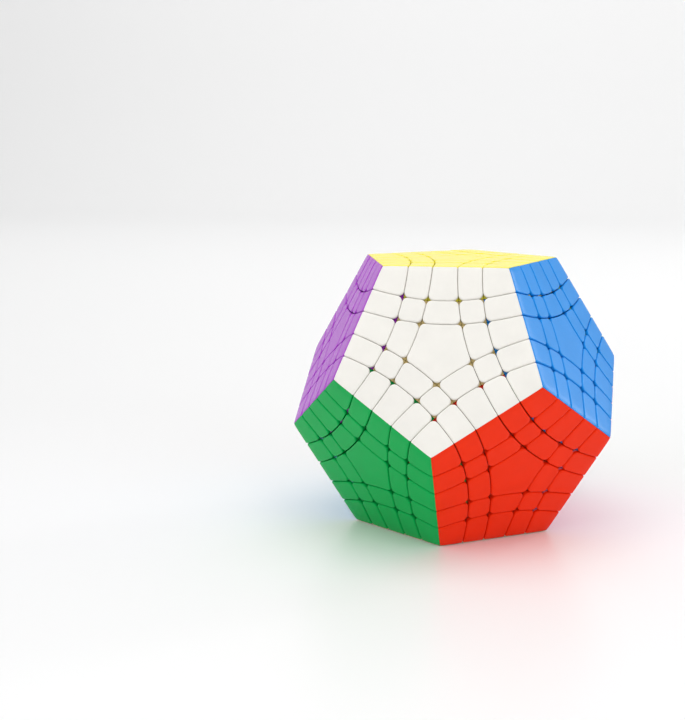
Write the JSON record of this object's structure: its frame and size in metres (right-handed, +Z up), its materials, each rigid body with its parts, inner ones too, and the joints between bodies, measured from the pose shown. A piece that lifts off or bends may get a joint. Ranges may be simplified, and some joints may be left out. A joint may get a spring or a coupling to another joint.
{
  "type": "twisty puzzle",
  "caption": "Twelve-sided twisty puzzle in twelve face colours, cut by curved lines into small tiles, whose layers turn about the face axes around a spring-loaded core.",
  "frame": {"origin": "middle of the face the puzzle stands on", "axes": "+Z up through the top (yellow) face, -Y towards the white face, +X to the right of someone looking at the white face"},
  "size_m": [0.1152, 0.1212, 0.098],
  "materials": {
    "yellow_plastic": "satin-gloss moulded plastic",
    "white_plastic": "satin-gloss moulded plastic",
    "blue_plastic": "satin-gloss moulded plastic",
    "lime_plastic": "satin-gloss moulded plastic",
    "orange_plastic": "satin-gloss moulded plastic",
    "purple_plastic": "satin-gloss moulded plastic",
    "red_plastic": "satin-gloss moulded plastic",
    "pink_plastic": "satin-gloss moulded plastic",
    "grey_plastic": "satin-gloss moulded plastic",
    "aqua_plastic": "satin-gloss moulded plastic",
    "green_plastic": "satin-gloss moulded plastic",
    "cream_plastic": "satin-gloss moulded plastic",
    "inner_plastic": "moulded, unpolished",
    "screw_steel": "zinc plated",
    "spring_steel": "drawn wire"
  },
  "bodies": {
    "core": {"core": "inner_plastic", "screws": "screw_steel", "springs": "spring_steel", "core_centre_bases": "inner_plastic", "core_piece_feet": "inner_plastic", "core_slice_hubs": "inner_plastic", "core_white_shells": "white_plastic", "core_blue_shells": "blue_plastic", "core_lime_shells": "lime_plastic", "core_orange_shells": "orange_plastic", "core_purple_shells": "purple_plastic", "core_pink_shells": "pink_plastic", "core_grey_shells": "grey_plastic", "core_green_shells": "green_plastic", "core_cream_shells": "cream_plastic"},
    "yellow_slice": {"yellow_slice_feet": "inner_plastic", "yellow_slice_hub": "inner_plastic", "yellow_slice_white_shells": "white_plastic", "yellow_slice_blue_shells": "blue_plastic", "yellow_slice_lime_shells": "lime_plastic", "yellow_slice_orange_shells": "orange_plastic", "yellow_slice_purple_shells": "purple_plastic"},
    "yellow_layer": {"yellow_layer_centre_base": "inner_plastic", "yellow_layer_feet": "inner_plastic", "yellow_layer_yellow_shells": "yellow_plastic", "yellow_layer_white_shells": "white_plastic", "yellow_layer_blue_shells": "blue_plastic", "yellow_layer_lime_shells": "lime_plastic", "yellow_layer_orange_shells": "orange_plastic", "yellow_layer_purple_shells": "purple_plastic"},
    "red_slice": {"red_slice_feet": "inner_plastic", "red_slice_hub": "inner_plastic", "red_slice_white_shells": "white_plastic", "red_slice_blue_shells": "blue_plastic", "red_slice_green_shells": "green_plastic", "red_slice_pink_shells": "pink_plastic", "red_slice_cream_shells": "cream_plastic"},
    "red_layer": {"red_layer_centre_base": "inner_plastic", "red_layer_feet": "inner_plastic", "red_layer_red_shells": "red_plastic", "red_layer_white_shells": "white_plastic", "red_layer_blue_shells": "blue_plastic", "red_layer_green_shells": "green_plastic", "red_layer_pink_shells": "pink_plastic", "red_layer_cream_shells": "cream_plastic"},
    "aqua_slice": {"aqua_slice_feet": "inner_plastic", "aqua_slice_hub": "inner_plastic", "aqua_slice_orange_shells": "orange_plastic", "aqua_slice_purple_shells": "purple_plastic", "aqua_slice_green_shells": "green_plastic", "aqua_slice_grey_shells": "grey_plastic", "aqua_slice_cream_shells": "cream_plastic"},
    "aqua_layer": {"aqua_layer_centre_base": "inner_plastic", "aqua_layer_feet": "inner_plastic", "aqua_layer_aqua_shells": "aqua_plastic", "aqua_layer_orange_shells": "orange_plastic", "aqua_layer_purple_shells": "purple_plastic", "aqua_layer_green_shells": "green_plastic", "aqua_layer_grey_shells": "grey_plastic", "aqua_layer_cream_shells": "cream_plastic"}
  },
  "joints": [
    {"name": "yellow_slice_turn", "type": "hinge", "parent": "core", "child": "yellow_slice", "pos_m": [0, 0, 0.04899], "axis": [0, 0, 1], "continuous": true},
    {"name": "yellow_layer_turn", "type": "hinge", "parent": "yellow_slice", "child": "yellow_layer", "pos_m": [0, 0, 0.04899], "axis": [0, 0, 1], "continuous": true},
    {"name": "red_slice_turn", "type": "hinge", "parent": "core", "child": "red_slice", "pos_m": [0, 0, 0.04899], "axis": [0.5257, -0.7236, -0.4472], "continuous": true},
    {"name": "red_layer_turn", "type": "hinge", "parent": "red_slice", "child": "red_layer", "pos_m": [0, 0, 0.04899], "axis": [0.5257, -0.7236, -0.4472], "continuous": true},
    {"name": "aqua_slice_turn", "type": "hinge", "parent": "core", "child": "aqua_slice", "pos_m": [0, 0, 0.04899], "axis": [-0.8507, 0.2764, -0.4472], "continuous": true},
    {"name": "aqua_layer_turn", "type": "hinge", "parent": "aqua_slice", "child": "aqua_layer", "pos_m": [0, 0, 0.04899], "axis": [-0.8507, 0.2764, -0.4472], "continuous": true}
  ]
}
